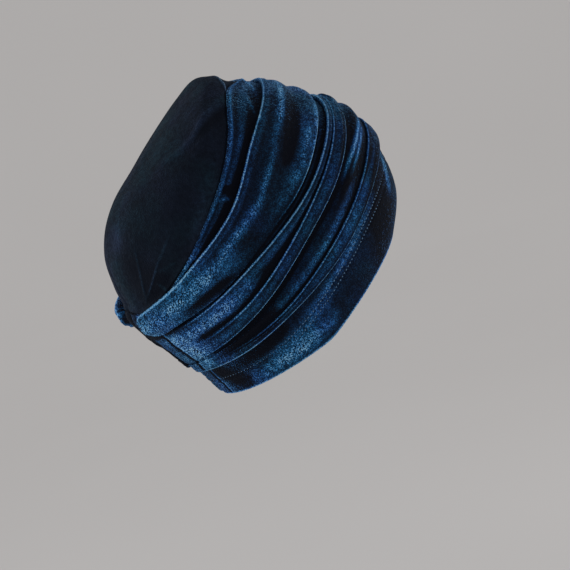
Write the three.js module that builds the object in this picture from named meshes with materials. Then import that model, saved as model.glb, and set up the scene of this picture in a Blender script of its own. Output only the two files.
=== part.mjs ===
// A soft turban cap of stretch velvet in the form it has on a head: a bag crown, a wide band laid in
// overlapping folds that gather into the centre-back seam, and a plain rim band with a turned hem.
// Millimetres, +Z up, face toward -Y. The origin is the middle of the head opening.
import * as THREE from 'three';

// Cloth
const FOLD_WALL = 1.8;        // velvet and the lap behind it, at a fold
const CROWN_WALL = 1.6;       // one layer of velvet with its pile
const RIM_WALL = 2.4;         // turned hem, two layers
const LAYER_GAP = 0.2;        // each piece keeps this far from the common surface between layers
const RIM_TUCK = 7;           // how far the rim band runs up under the lowest fold
const CROWN_TUCK = 10;        // how far the crown runs down under the band

// Rows of points down the rim band and up the crown, as shares of their length
const RIM_ROWS = [1, 0.9, 0.7, 0.45, 0.2, 0.02];
const CROWN_ROWS = [0, 0.1, 0.2, 0.32, 0.44, 0.56, 0.68, 0.8, 0.91];

// Centre-back seam and gathers
const SEAM_HALF_WIDTH = 12;   // each fold end rounds over this width to the seam
const SEAM_FOLD_SHARE = 0.25; // share of a fold's height that is left at the seam
const GATHER_PITCH = 15.6;    // degrees between crown gathers
const GATHER_HEIGHT = 2;
const GATHER_SPREAD = 26;     // degrees from the seam over which the gathers die out
const GATHER_REACH = 1.8;     // sections up the crown over which they die out
const GATHER_START = 0.45;    // sections over which they rise from the seam

// Angle columns round the head: close together beside the seam, even elsewhere
const SEAM_COLUMNS = [2.5, 8];
const EVEN_STEPS = 22;
const BACK_RADIUS = 95;       // turns an angle at the back into a width
const SIDE_SQUARENESS = 0.12; // 0 gives elliptic sections
const CROWN_FLAT = 0.3;       // sections round the crown's middle that face one way

// Sections from the hem to the middle of the crown. front and back lie on the mid-plane [y, z], side is the
// widest point [x, y, z], corner is small where the section turns sharply at the ear, and seam is how
// deep the centre-back seam draws it in.
const SECTIONS = [
  { name: 'hem', front: [-91, 55], side: [76, 9, -18], back: [98, -50], corner: 0.07, seam: 3 },
  { name: 'rim_middle', front: [-103, 90], side: [80, 12, 5], back: [107, -36], corner: 0.4, seam: 5 },
  { name: 'rim_top', front: [-95, 131], side: [84, 16, 30], back: [116, -21], corner: 1.5, seam: 7 },
  { name: 'lower_folds', front: [-70, 166], side: [87, 22, 62], back: [128, -5], corner: 3, seam: 7 },
  { name: 'middle_folds', front: [-42, 183], side: [88, 42, 86], back: [144, 12], corner: 3, seam: 7 },
  { name: 'upper_folds', front: [-6, 204], side: [86, 76, 112], back: [159, 32], corner: 3, seam: 7 },
  { name: 'crown_seam', front: [28, 216], side: [84, 88, 122], back: [161, 43], corner: 3, seam: 6 },
  { name: 'crown_side', front: [46, 224], side: [80, 99, 140], back: [166, 64], corner: 3, seam: 3 },
  { name: 'crown_corner', front: [60, 223], side: [68, 108, 157], back: [169, 94], corner: 3, seam: 0 },
  { name: 'crown_top', front: [84, 204], side: [40, 116, 168], back: [155, 132], corner: 3, seam: 0 },
  { name: 'crown_middle', front: [117, 173], side: [0, 117, 173], back: [117, 173], corner: 3, seam: 0 },
];
const BAND_TOP = 6;           // the band ends at the crown seam

// Folds of the band from crown to rim. at is the place in sections and height the rise in mm, each at the
// front, 45, 90 and 135 degrees round and the back. A lip above 0 overhangs toward the crown, below 0
// toward the hem, and 0 is a soft rise or dip. floor is the height at the bottom of the crease by a lip.
const FOLDS = [
  { name: 'seam_ridge', lip: 0, at: [5.92, 5.88, 5.55, 5.50, 5.60], height: [5.0, 5.0, 4.2, 3.2, 3.2] },
  { name: 'seam_dip', lip: 0, at: [5.55, 5.52, 5.30, 5.34, 5.48], height: [2.4, 2.4, 2.2, 2.2, 2.2] },
  { name: 'roll_edge', lip: 1, floor: 2, at: [5.10, 5.13, 4.93, 5.17, 5.40], height: [6.5, 7, 7, 9, 10] },
  { name: 'roll_crest', lip: 0, at: [4.82, 4.72, 4.52, 4.62, 4.75], height: [8.0, 7.6, 7.4, 10.5, 12] },
  { name: 'roll_dip', lip: 0, at: [4.45, 4.40, 4.25, 4.40, 4.50], height: [3.8, 5.0, 5.0, 8.5, 10] },
  { name: 'roll_under', lip: -1, floor: 2, at: [3.98, 3.88, 3.88, 4.19, 4.34], height: [8, 7, 2.6, 6, 8] },
  { name: 'pleat_top', lip: 1, floor: 2, at: [3.62, 3.62, 3.80, 4.10, 4.22], height: [6, 6.5, 7, 3.4, 3] },
  { name: 'pleat_dip', lip: 0, at: [3.50, 3.53, 3.60, 3.68, 3.70], height: [5.0, 4.6, 4.2, 4.5, 5.5] },
  { name: 'pleat_edge', lip: -1, floor: 2, at: [3.22, 3.00, 3.04, 2.80, 2.75], height: [8, 7.5, 7.6, 6, 5] },
  { name: 'flat_crest', lip: 0, at: [2.85, 2.68, 2.66, 2.50, 2.45], height: [7.0, 4.6, 4.2, 4.2, 5.0] },
  { name: 'flat_dip', lip: 0, at: [2.55, 2.46, 2.34, 2.33, 2.28], height: [4.5, 3.8, 3.4, 3.8, 4.6] },
  { name: 'low_edge', lip: -1, floor: 2, at: [2.18, 2.02, 2.04, 2.15, 2.05], height: [6, 6.5, 7, 6.5, 5.5] },
];

// Outer outline of a hemward lip: step along the cloth toward the crown, in mm at full height, and share
// of the lip's height above its floor.
const LIP_OUTLINE = [
  { step: 5.0, share: 1.0 },
  { step: 0.6, share: 0.93 },
  { step: -1.0, share: 0.55 },
  { step: 1.6, share: 0.0 },
];
const LIP_FULL_HEIGHT = 3;    // a lower lip is drawn smaller in proportion
const LIP_LEAST_SIZE = 0.3;
const LIP_BACKING = 2.2;      // inner face of a lip behind its crease

// A smooth curve through evenly spaced values, between the second and the third.
function smoothThrough(before, from, to, after, share) {
  const s2 = share * share;
  const s3 = s2 * share;
  const slopeFrom = (to - before) / 2;
  const slopeTo = (after - from) / 2;
  return (2 * s3 - 3 * s2 + 1) * from + (s3 - 2 * s2 + share) * slopeFrom
    + (3 * s2 - 2 * s3) * to + (s3 - s2) * slopeTo;
}

// One of the SECTIONS' numbers at any place between the rows.
function sectionValue(pick, place) {
  const last = SECTIONS.length - 1;
  const row = THREE.MathUtils.clamp(Math.floor(place), 0, last - 1);
  const at = (i) => pick(SECTIONS[THREE.MathUtils.clamp(i, 0, last)]);
  return smoothThrough(at(row - 1), at(row), at(row + 1), at(row + 2), place - row);
}

// One of the FOLDS' five numbers at any angle, the same on the left and the right.
function roundHead(values, angle) {
  const quarter = Math.abs(angle) / (Math.PI / 4);
  const i = Math.min(Math.floor(quarter), 3);
  const at = (k) => values[k < 0 ? -k : k > 4 ? 8 - k : k];
  return smoothThrough(at(i - 1), at(i), at(i + 1), at(i + 2), quarter - i);
}

// Smooth surface between the layers: each section runs front to back along a bowed line and swells
// sideways as a squarish ellipse.
function layerPoint(angle, place) {
  const value = (pick) => sectionValue(pick, place);
  const along = -Math.cos(angle);
  const corner = value((s) => s.corner);
  const reach = Math.hypot(1, corner);
  const bow = (reach - Math.hypot(along, corner)) / (reach - corner);
  const bowed = (front, side, back) => {
    const middle = (front + back) / 2;
    return middle + (back - front) / 2 * along + (side - middle) * bow;
  };
  const x = -value((s) => s.side[0]) * Math.sin(angle) * (1 + SIDE_SQUARENESS * Math.cos(angle) ** 2);
  const y = bowed(value((s) => s.front[0]), value((s) => s.side[1]), value((s) => s.back[0]));
  const z = bowed(value((s) => s.front[1]), value((s) => s.side[2]), value((s) => s.back[1]));
  return new THREE.Vector3(x, y, z);
}

// Direction out of the layer surface, from two short chords across it.
function outward(angle, place) {
  const half = 0.002;
  const up = layerPoint(angle, place + half).sub(layerPoint(angle, place - half));
  const round = layerPoint(angle + half, place).sub(layerPoint(angle - half, place));
  return up.cross(round).normalize();
}

// Millimetres of cloth in one step from section to section.
function sectionPace(angle, place) {
  const half = 0.02;
  return layerPoint(angle, place + half).distanceTo(layerPoint(angle, place - half)) / (2 * half);
}

// 0 on the centre-back seam, rising as a quarter round to 1 beside it.
function besideSeam(angle) {
  const away = (Math.PI - Math.abs(angle)) * BACK_RADIUS;
  const inside = THREE.MathUtils.clamp(1 - away / SEAM_HALF_WIDTH, 0, 1);
  return Math.sqrt(1 - inside * inside);
}

// A point of cloth at a height over the layer surface, drawn in by the seam.
function clothPoint(angle, place, height) {
  const drawn = sectionValue((s) => s.seam, place) * (1 - besideSeam(angle));
  return layerPoint(angle, place).addScaledVector(outward(angle, place), height - drawn);
}

function columnAngles() {
  const fromSeam = [...SEAM_COLUMNS];
  const start = SEAM_COLUMNS.at(-1);
  for (let i = 1; i < EVEN_STEPS; i++) fromSeam.push(start + i * (180 - start) / EVEN_STEPS);
  const degrees = [-180, ...fromSeam.map((d) => d - 180), 0, ...fromSeam.map((d) => 180 - d).reverse()];
  return degrees.map(THREE.MathUtils.degToRad);
}

// The band's cross-section at an angle: a closed loop of { place, height }, down the outer face and back up
// the inner one.
function bandLoop(angle) {
  const outer = [
    { place: BAND_TOP, height: LAYER_GAP },
    { place: BAND_TOP, height: LAYER_GAP + FOLD_WALL },
  ];
  const inner = [];
  const innerHeight = (height) => Math.max(LAYER_GAP, height - FOLD_WALL);
  for (const fold of FOLDS) {
    const place = roundHead(fold.at, angle);
    const height = roundHead(fold.height, angle);
    if (fold.lip === 0) {
      outer.push({ place, height });
      inner.push({ place, height: innerHeight(height) });
      continue;
    }
    const pace = sectionPace(angle, place);
    const rise = height - fold.floor;
    const size = THREE.MathUtils.clamp(rise / LIP_FULL_HEIGHT, LIP_LEAST_SIZE, 1);
    const turn = -Math.sign(fold.lip) * size / pace;
    const outline = LIP_OUTLINE.map((p) => ({
      place: place + p.step * turn,
      height: fold.floor + rise * p.share,
    }));
    const crest = { place: place + LIP_OUTLINE[0].step * turn, height: innerHeight(height) };
    const crease = { place: place + LIP_BACKING * turn, height: LAYER_GAP };
    if (fold.lip > 0) {
      outline.reverse();
      inner.push(crease, crest);
    } else {
      inner.push(crest, crease);
    }
    outer.push(...outline);
  }
  const share = SEAM_FOLD_SHARE + (1 - SEAM_FOLD_SHARE) * besideSeam(angle);
  return [...outer, ...inner.reverse()].map(({ place, height }) => ({
    place,
    height: LAYER_GAP + (height - LAYER_GAP) * share,
  }));
}

// The rim band's cross-section: outer face, folded hem edge, inner face, and the edge under the lowest fold.
function rimLoop(angle) {
  const lowFold = roundHead(FOLDS.at(-1).at, angle);
  const top = lowFold + RIM_TUCK / sectionPace(angle, lowFold);
  const outerFace = -LAYER_GAP;
  const innerFace = -LAYER_GAP - RIM_WALL;
  const down = RIM_ROWS.map((s) => ({ place: top * s, height: outerFace }));
  const up = [...RIM_ROWS].reverse().map((s) => ({ place: top * s, height: innerFace }));
  return [...down, { place: 0, height: (outerFace + innerFace) / 2 }, ...up];
}

// The crown's line from under the band to its middle, at a depth below the layer surface, with gathers
// that fan out from the seam.
function crownLine(angle, depth) {
  const start = BAND_TOP - CROWN_TUCK / sectionPace(angle, BAND_TOP);
  const last = SECTIONS.length - 1;
  const fromSeam = 180 - Math.abs(THREE.MathUtils.radToDeg(angle));
  const wave = Math.cos(fromSeam / GATHER_PITCH * 2 * Math.PI) - 1;
  return CROWN_ROWS.map((s) => {
    const place = start + (last - start) * s;
    const above = Math.max(place - BAND_TOP, 0);
    const upward = Math.min(above / GATHER_START, 1) * Math.max(1 - above / GATHER_REACH, 0);
    const sideways = Math.exp(-((fromSeam / GATHER_SPREAD) ** 2));
    return clothPoint(angle, place, -LAYER_GAP - depth + GATHER_HEIGHT / 2 * wave * upward * sideways);
  });
}

function meshFrom(name, points, triangles, finish) {
  const geometry = new THREE.BufferGeometry();
  geometry.setAttribute('position', new THREE.Float32BufferAttribute(points.flatMap((p) => p.toArray()), 3));
  geometry.setIndex(triangles);
  geometry.computeVertexNormals();
  const mesh = new THREE.Mesh(geometry, new THREE.MeshStandardMaterial(finish));
  mesh.name = name;
  return mesh;
}

function quad(triangles, a, b, c, d) {
  triangles.push(a, b, c, a, c, d);
}

// A closed ring: the same closed loop of points at every angle, joined to the next one round the head.
function ringPiece(name, loopAt, finish) {
  const columns = columnAngles().map((angle) => loopAt(angle)
    .map(({ place, height }) => clothPoint(angle, place, height)));
  const size = columns[0].length;
  const triangles = [];
  columns.forEach((_, i) => {
    const here = i * size;
    const next = ((i + 1) % columns.length) * size;
    for (let k = 0; k < size; k++) {
      const k2 = (k + 1) % size;
      quad(triangles, here + k, next + k, next + k2, here + k2);
    }
  });
  return meshFrom(name, columns.flat(), triangles, finish);
}

// A closed cup: an outer and an inner line at every angle, joined at the edge and closed in the middle.
function cupPiece(name, lineAt, wall, finish) {
  const columns = columnAngles().map((angle) => [
    ...lineAt(angle, 0).reverse(),
    ...lineAt(angle, wall),
  ]);
  const size = columns[0].length;
  const points = columns.flat();
  const middle = SECTIONS.length - 1;
  const tip = layerPoint(0, middle);
  const facing = new THREE.Vector3();
  columnAngles().forEach((angle) => facing.add(outward(angle, middle - CROWN_FLAT)));
  facing.normalize();
  const outerTip = points.push(tip.clone().addScaledVector(facing, -LAYER_GAP)) - 1;
  const innerTip = points.push(tip.clone().addScaledVector(facing, -LAYER_GAP - wall)) - 1;
  const triangles = [];
  columns.forEach((_, i) => {
    const here = i * size;
    const next = ((i + 1) % columns.length) * size;
    triangles.push(outerTip, next, here);
    for (let k = 0; k < size - 1; k++) quad(triangles, here + k, next + k, next + k + 1, here + k + 1);
    triangles.push(innerTip, here + size - 1, next + size - 1);
  });
  return meshFrom(name, points, triangles, finish);
}

const cap = new THREE.Group();
cap.add(
  ringPiece('rim_band', rimLoop, { color: '#12263d', roughness: 0.85, metalness: 0 }),
  ringPiece('draped_band', bandLoop, { color: '#1b3f63', roughness: 0.85, metalness: 0 }),
  cupPiece('crown', crownLine, CROWN_WALL, { color: '#0f1a28', roughness: 0.9, metalness: 0 }),
);
export default cap;
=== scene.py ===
import bpy
import numpy as np
from mathutils import Matrix, Vector


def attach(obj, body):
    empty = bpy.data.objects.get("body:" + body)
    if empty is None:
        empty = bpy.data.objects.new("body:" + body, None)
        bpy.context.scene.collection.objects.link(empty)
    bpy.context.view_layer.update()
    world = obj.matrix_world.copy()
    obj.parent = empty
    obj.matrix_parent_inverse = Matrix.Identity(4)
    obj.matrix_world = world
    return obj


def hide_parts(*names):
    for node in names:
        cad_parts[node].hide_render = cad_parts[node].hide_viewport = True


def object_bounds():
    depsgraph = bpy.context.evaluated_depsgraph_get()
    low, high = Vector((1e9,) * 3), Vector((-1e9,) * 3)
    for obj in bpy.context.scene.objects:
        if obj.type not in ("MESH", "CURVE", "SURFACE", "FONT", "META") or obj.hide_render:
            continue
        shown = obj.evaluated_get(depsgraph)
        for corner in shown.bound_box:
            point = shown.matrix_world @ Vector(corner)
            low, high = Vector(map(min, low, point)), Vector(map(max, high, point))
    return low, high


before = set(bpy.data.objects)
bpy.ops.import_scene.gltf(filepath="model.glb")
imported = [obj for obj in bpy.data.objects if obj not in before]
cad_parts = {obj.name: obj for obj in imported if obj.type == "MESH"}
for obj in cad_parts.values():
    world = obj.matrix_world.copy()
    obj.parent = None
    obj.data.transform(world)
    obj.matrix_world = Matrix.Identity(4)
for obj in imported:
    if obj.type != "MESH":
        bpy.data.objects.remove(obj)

cad_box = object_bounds()

# Rim band
# A plain band of doubled stretch velvet round brow, ears and nape. Its lower edge is a turned hem, its
# upper edge is sewn in under the lowest fold, and two rows of stitches hold the turning.
MM = 0.001
RIM_WALL = 2.4
RIM_TUCK = 7                  # how far the rim runs up under the lowest fold
RIM_HOLLOW = 0.6              # its hollows go no deeper than this share of the wall
RIM_WAVES = dict(seed=11, size=0.5, lengths=(70, 60))
RIM_CALM = (0.15, 0.8)        # between these places the waves grow from nothing
LAYER_GAP = 0.2               # each layer keeps this far from the common surface between layers
SEAM_HALF_WIDTH = 15          # every layer rounds over this width into the centre-back seam
BACK_RADIUS = 95              # turns an angle at the back into a width
SIDE_SQUARENESS = 0.12        # 0 gives elliptic sections
SECTION_STEP = 30             # about the mm from one section to the next
CHORD_HALF = 0.002            # half the step over which a direction is taken
PACE_HALF = 0.02              # and a pace
WAVE_COUNT = 6
WAVE_SPREAD = (0.6, 1.4)      # how much longer or shorter than asked a wave may be
END_LINE_AT = 26              # each layer has a sunk line this far from the seam
END_LINE_WIDTH = 1.5
END_LINE_DEPTH = 0.7
END_LINE_SHADE = 0.8            # how much painted shade lies in it
END_HIGHLIGHT_AT = 29              # a painted highlight lies this far from the seam
END_HIGHLIGHT = 0.42
END_HIGHLIGHT_WIDTH = 0.8
END_SHADE = 0.28                # toward the seam the pile is darker by this much painted shade
END_SHADE_WIDTH = (36, 8)       # between these widths
FINE_COLUMNS = 29             # degrees from the seam within which points lie closer


def table(columns, rows):
    """Rows of a table as dictionaries, under the names of its columns."""
    return [dict(zip(columns.split(), row)) for row in rows]


# Sections of the cap from the hem to the middle of the crown, in mm. front and back lie on the mid-plane
# (y, z), side is the widest point (x, y, z), corner is small where the section turns sharply at the ear,
# and seam is how deep the centre-back seam draws it in.
SECTIONS = table("name front side back corner seam", [
    ("hem", (-91, 55), (76, 9, -18), (98, -50), 0.07, 3),
    ("rim_middle", (-103, 90), (80, 12, 5), (107, -36), 0.4, 5),
    ("rim_top", (-95, 131), (84, 16, 30), (116, -21), 1.5, 7),
    ("lower_folds", (-70, 166), (87, 22, 62), (128, -5), 3, 7),
    ("middle_folds", (-42, 183), (88, 42, 86), (144, 12), 3, 7),
    ("upper_folds", (-6, 204), (86, 76, 112), (159, 32), 3, 7),
    ("crown_seam", (28, 216), (84, 88, 122), (161, 43), 3, 6),
    ("crown_side", (46, 224), (80, 99, 140), (166, 64), 3, 3),
    ("crown_corner", (58, 217), (68, 106, 154), (167, 94), 3, 0),
    ("crown_top", (80, 199), (40, 113, 164), (153, 130), 3, 0),
    ("crown_middle", (114, 170), (0, 114, 170), (114, 170), 3, 0),
])
LAST_SECTION = len(SECTIONS) - 1
SECTION_VALUES = np.array([[*s["front"], *s["side"], *s["back"], s["corner"], s["seam"]] for s in SECTIONS])


def cubic(start, end, slope_start, slope_end, share):
    """Hermite cubic from start to end with the slopes given there."""
    s2 = share ** 2
    s3 = share ** 3
    return ((2 * s3 - 3 * s2 + 1) * start + (s3 - 2 * s2 + share) * slope_start
            + (3 * s2 - 2 * s3) * end + (s3 - s2) * slope_end)


def smooth_through(before, start, end, after, share):
    """Catmull-Rom curve from start to end: a cubic whose slopes are half the steps across each end."""
    return cubic(start, end, (end - before) / 2, (after - start) / 2, share)


def section_values(place):
    """The numbers of SECTIONS at any place between its rows, on smooth curves through the rows."""
    place = np.clip(place, 0, LAST_SECTION)
    row = np.clip(np.floor(place).astype(int), 0, LAST_SECTION - 1)
    rows = [SECTION_VALUES[np.clip(row + k, 0, LAST_SECTION)] for k in (-1, 0, 1, 2)]
    return smooth_through(*rows, (place - row)[..., None])


def layer_point(angle, place):
    """Surface between the layers: a section runs front to back along a bowed line, x is a squarish ellipse.
    angle is 0 at the front and grows to pi at the back over the right side, where x is below 0."""
    fy, fz, sx, sy, sz, by, bz, corner, _ = np.moveaxis(section_values(place), -1, 0)
    along = -np.cos(angle)
    reach = np.hypot(1, corner)
    bow = (reach - np.hypot(along, corner)) / (reach - corner)
    x = -sx * np.sin(angle) * (1 + SIDE_SQUARENESS * np.cos(angle) ** 2)
    y = (fy + by) / 2 + (by - fy) / 2 * along + (sy - (fy + by) / 2) * bow
    z = (fz + bz) / 2 + (bz - fz) / 2 * along + (sz - (fz + bz) / 2) * bow
    return np.stack([x, y, z], -1)


def chords(angle, place, half=CHORD_HALF):
    """Millimetres per radian round the cap and per section up it, as vectors."""
    round_cap = layer_point(angle + half, place) - layer_point(angle - half, place)
    upward = layer_point(angle, place + half) - layer_point(angle, place - half)
    return round_cap / (2 * half), upward / (2 * half)


def outward(angle, place):
    """Unit normal of the layer surface: the cross product of its two chords."""
    round_cap, upward = chords(angle, place)
    normal = np.cross(upward, round_cap)
    return normal / (np.linalg.norm(normal, axis=-1, keepdims=True) + 1e-12)


def pace(angle, place):
    """Millimetres of cloth in one step from section to section."""
    return np.linalg.norm(chords(angle, place, PACE_HALF)[1], axis=-1)


def at_angle(values, angle):
    """Smooth even curve through seven values, one at every 30 degrees from the front round to the back."""
    values = np.asarray(values, float)
    step = np.abs(angle) / (np.pi / 6)
    i = np.clip(np.floor(step).astype(int), 0, 5)
    mirrored = np.concatenate([values[1:2], values, values[5:6]])
    return smooth_through(*[mirrored[i + k] for k in range(4)], step - i)


def beside_seam(angle, width=SEAM_HALF_WIDTH, start=0):
    """0 up to start mm from the centre-back seam, rising as a quarter round to 1 over the next width mm."""
    away = (np.pi - np.abs(angle)) * BACK_RADIUS - start
    inside = np.clip(1 - away / width, 0, 1)
    return np.sqrt(1 - inside ** 2)


def cloth_point(angle, place, height):
    """A point of cloth in mm: the layer surface moved outward by height, less what the seam draws in."""
    drawn = section_values(place)[..., -1] * (1 - beside_seam(angle))
    return layer_point(angle, place) + (height - drawn)[..., None] * outward(angle, place)


def ease(low, high, value):
    """0 below low, 1 above high, a smooth cubic step between."""
    s = np.clip((value - low) / (high - low), 0, 1)
    return s * s * (3 - 2 * s)


def waves(angle, place, seed, size, lengths):
    """Gentle unevenness of hand-laid cloth: a sum of seeded sine waves along both directions of the cloth.
    lengths are the wavelengths in mm round the cap and across it."""
    draw = np.random.default_rng(seed)
    total = np.zeros(np.broadcast(angle, place).shape)
    for _ in range(WAVE_COUNT):
        turns = np.round(draw.uniform(*WAVE_SPREAD) * 2 * np.pi * BACK_RADIUS / lengths[0])
        steps = draw.uniform(*WAVE_SPREAD) * 2 * np.pi * SECTION_STEP / lengths[1]
        total += np.sin(turns * angle + steps * place + draw.uniform(0, 2 * np.pi))
    return total * size / WAVE_COUNT


def crease_field(angle, place, creases):
    """Height, painted highlight and painted light-and-shade values of short creases: a bell across a straight
    line on the cloth that fades at both ends."""
    total = np.zeros((3, *np.broadcast(angle, place).shape))
    for crease in creases:
        start, end = [np.array([np.radians(a), p]) for a, p in (crease["start"], crease["end"])]
        scale = [np.linalg.norm(chord) for chord in chords(*(start + end) / 2)]
        run = (end - start) * scale
        off = np.stack(np.broadcast_arrays(np.abs(angle) - start[0], place - start[1]), -1) * scale
        share = np.clip(off @ run / (run @ run), 0, 1)
        away = np.linalg.norm(off - share[..., None] * run, axis=-1)
        bell = np.exp(-(away / crease["width"]) ** 2) * np.sin(np.pi * share)
        total += np.multiply.outer([crease["height"], crease["edge"], crease["brushed"]], bell)
    return total


def layer_end(angle, further=0):
    """Height, painted highlight and painted shade values of a layer's end near the seam: a sunk line with
    painted shade in it, a painted highlight, and painted shade that deepens toward the seam. further moves the
    end away from the seam."""
    away = (np.pi - np.abs(angle)) * BACK_RADIUS - further
    sunk = np.exp(-((away - END_LINE_AT) / END_LINE_WIDTH) ** 2)
    edge = np.exp(-((away - END_HIGHLIGHT_AT) / END_HIGHLIGHT_WIDTH) ** 2)
    flat = ease(*END_SHADE_WIDTH, away)
    return np.stack([-END_LINE_DEPTH * sunk, END_HIGHLIGHT * edge, -END_LINE_SHADE * sunk - END_SHADE * flat])


def column_angles(even, fine):
    """Angles round the cap in steps of even degrees, and in finer ones near the seam."""
    fine = np.arange(0, FINE_COLUMNS, fine)
    rough = np.linspace(FINE_COLUMNS, 180, int(round((180 - FINE_COLUMNS) / even)), endpoint=False)
    from_seam = np.concatenate([fine, rough])
    right = np.pi - np.radians(from_seam)
    return np.concatenate([-right, [0.0], right[:0:-1]])


def cloth_object(name, points, faces, values, material):
    """An object from points in mm and faces, with the named values stored as point attributes."""
    mesh = bpy.data.meshes.new(name)
    mesh.from_pydata((points * MM).tolist(), [], faces)
    for label, numbers in values.items():
        layer = mesh.attributes.new(label, "FLOAT", "POINT")
        layer.data.foreach_set("value", np.ascontiguousarray(numbers, dtype=np.float32).ravel())
    mesh.shade_smooth()
    mesh.materials.append(material)
    mesh.validate()
    piece = bpy.data.objects.new(name, mesh)
    bpy.context.collection.objects.link(piece)
    return piece


def column_quads(index):
    """Quads that join each column of point numbers to the next one, and the last to the first."""
    beside = np.roll(index, -1, 0)
    quads = np.stack([index[:, :-1], beside[:, :-1], beside[:, 1:], index[:, 1:]], -1)
    return quads.reshape(-1, 4).tolist()


def ring_faces(columns, size):
    """Quads of a closed ring, whose columns are loops of points."""
    index = np.arange(columns * size).reshape(columns, size)
    return column_quads(np.concatenate([index, index[:, :1]], 1))


def feed(tree, node, inputs):
    """Give a node's inputs their values, or link them to the sockets given."""
    for key, value in inputs.items():
        if isinstance(value, bpy.types.NodeSocket):
            tree.links.new(value, node.inputs[key])
        else:
            node.inputs[key].default_value = value


def add(tree, kind, inputs=None, **settings):
    """A new shader node with its settings made and its inputs fed."""
    node = tree.nodes.new("ShaderNode" + kind)
    for key, value in settings.items():
        setattr(node, key, value)
    feed(tree, node, inputs or {})
    return node


def maths(tree, operation, *values):
    """One Math node, fed by sockets or plain numbers."""
    return add(tree, "Math", dict(enumerate(values)), operation=operation).outputs[0]


def mixed(tree, share, first, second):
    """The colour between first and second, share of the way, as a Mix node."""
    inputs = {"Factor": share, "A": first, "B": second}
    return add(tree, "Mix", inputs, data_type="RGBA", clamp_factor=True).outputs["Result"]


def new_material(name):
    """A material with its node tree and its Principled shader."""
    material = bpy.data.materials.new(name)
    material.use_nodes = True
    return material, material.node_tree, material.node_tree.nodes["Principled BSDF"]


def new_group(name, colours_in, values_in, colours_out, values_out):
    """A shader node group whose named inputs and outputs are colours and values."""
    group = bpy.data.node_groups.new(name, "ShaderNodeTree")
    for in_out, kind, labels in (("INPUT", "Color", colours_in), ("INPUT", "Float", values_in),
                                 ("OUTPUT", "Color", colours_out), ("OUTPUT", "Float", values_out)):
        for label in labels:
            group.interface.new_socket(label, in_out=in_out, socket_type="NodeSocket" + kind)
    return group, group.nodes.new("NodeGroupInput").outputs, group.nodes.new("NodeGroupOutput")


def stretched_noise(tree, scale, detail, low, high):
    """Noise on Object coordinates, stretched so that low to high becomes 0 to 1."""
    place = add(tree, "TexCoord").outputs["Object"]
    noise = add(tree, "TexNoise", {"Scale": scale, "Detail": detail, "Vector": place}).outputs["Fac"]
    return add(tree, "MapRange", {"From Min": low, "From Max": high, "Value": noise}).outputs["Result"]


def pile_group():
    """Relief of velvet pile: tufts of fibre tips as fine noise, patches where the pile lies another way as
    coarser noise.
    """
    group, _, result = new_group("velvet_pile", (), (), (), ("Tips", "Brushed", "Height", "Roughness"))
    tips = stretched_noise(group, scale=920, detail=1, low=0.42, high=0.70)
    tufts = stretched_noise(group, scale=280, detail=2, low=0.32, high=0.68)
    patches = stretched_noise(group, scale=60, detail=2, low=0.30, high=0.70)
    feed(group, result, {"Tips": tips, "Brushed": maths(group, "ADD", tufts, patches),
                         "Height": maths(group, "MULTIPLY_ADD", tufts, TUFT_HEIGHT, tips),
                         "Roughness": maths(group, "MULTIPLY_ADD", tufts, TUFT_GLOSS, PILE_ROUGHNESS)})
    return group


def dye_and_painted_light_group():
    """Colour of dyed pile with painted light: the deep colour of its depth mixed with the bright colour of the
    fibres' sides. Sides says how far they show, painted light and shade included, the tufts break that up into
    grain, Lines adds painted highlights along edges, and the brightest tufts turn pale."""
    group, given, result = new_group("velvet_dye_and_painted_light", ("Deep", "Bright", "Second", "Pale"),
                                     ("Sides", "PaintedHighlights", "Tips", "Brushed", "Grain"), ("Colour",), ())
    by_sides = maths(group, "MULTIPLY_ADD", given["Sides"], *GRAIN_BY_SIDES)
    grain = maths(group, "MULTIPLY", by_sides, given["Grain"])
    grainy = maths(group, "MULTIPLY_ADD", maths(group, "SUBTRACT", given["Tips"], TIPS_USUAL), grain, 1.0)
    patchy = maths(group, "MULTIPLY_ADD", maths(group, "SUBTRACT", given["Brushed"], 1.0), PATCHINESS, 1.0)
    sides = maths(group, "MULTIPLY", maths(group, "MULTIPLY", grainy, patchy), given["Sides"])
    lined = maths(group, "MULTIPLY_ADD", given["Tips"], *LINES_BY_TIPS)
    amount = maths(group, "MULTIPLY_ADD", given["PaintedHighlights"], lined, maths(group, "MAXIMUM", sides, 0.0))
    tint = stretched_noise(group, scale=26, detail=1, low=0.38, high=0.62)
    coloured = mixed(group, amount, given["Deep"], mixed(group, tint, given["Bright"], given["Second"]))
    palest = maths(group, "MULTIPLY_ADD", amount, *PALE_BY_AMOUNT)
    feed(group, result, {"Colour": mixed(group, palest, coloured, given["Pale"])})
    return group


# The pile: depth and strength of its relief, what tufts add to height and roughness, and gain and offset of
# what the dye group adds up.
PILE_DEPTH = 0.5
PILE_STRENGTH = 0.8
PILE_ROUGHNESS = 0.92
PILE_SPECULAR = 0.08
SHEEN_ROUGHNESS = 0.25
TUFT_HEIGHT = 0.6
TUFT_GLOSS = -0.12
TIPS_USUAL = 0.3
PATCHINESS = 0.9
GRAIN_BY_SIDES = (0.8, 0.6)
LINES_BY_TIPS = (1.6, 0.35)
PALE_BY_AMOUNT = (0.75, -0.42)
EDGE_FALL = 1.5               # power that narrows the painted edge highlights
SLANT_CURVE = ((0.05, 0.03), (0.3, 0.04), (0.5, 0.11), (0.7, 0.36), (0.85, 0.56))
SLANT_ENDS = (0.03, 0.62)     # how much of the fibres' sides shows seen end on and from the side
VELVET_PILE = pile_group()
VELVET_DYE_AND_PAINTED_LIGHT = dye_and_painted_light_group()


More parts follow.
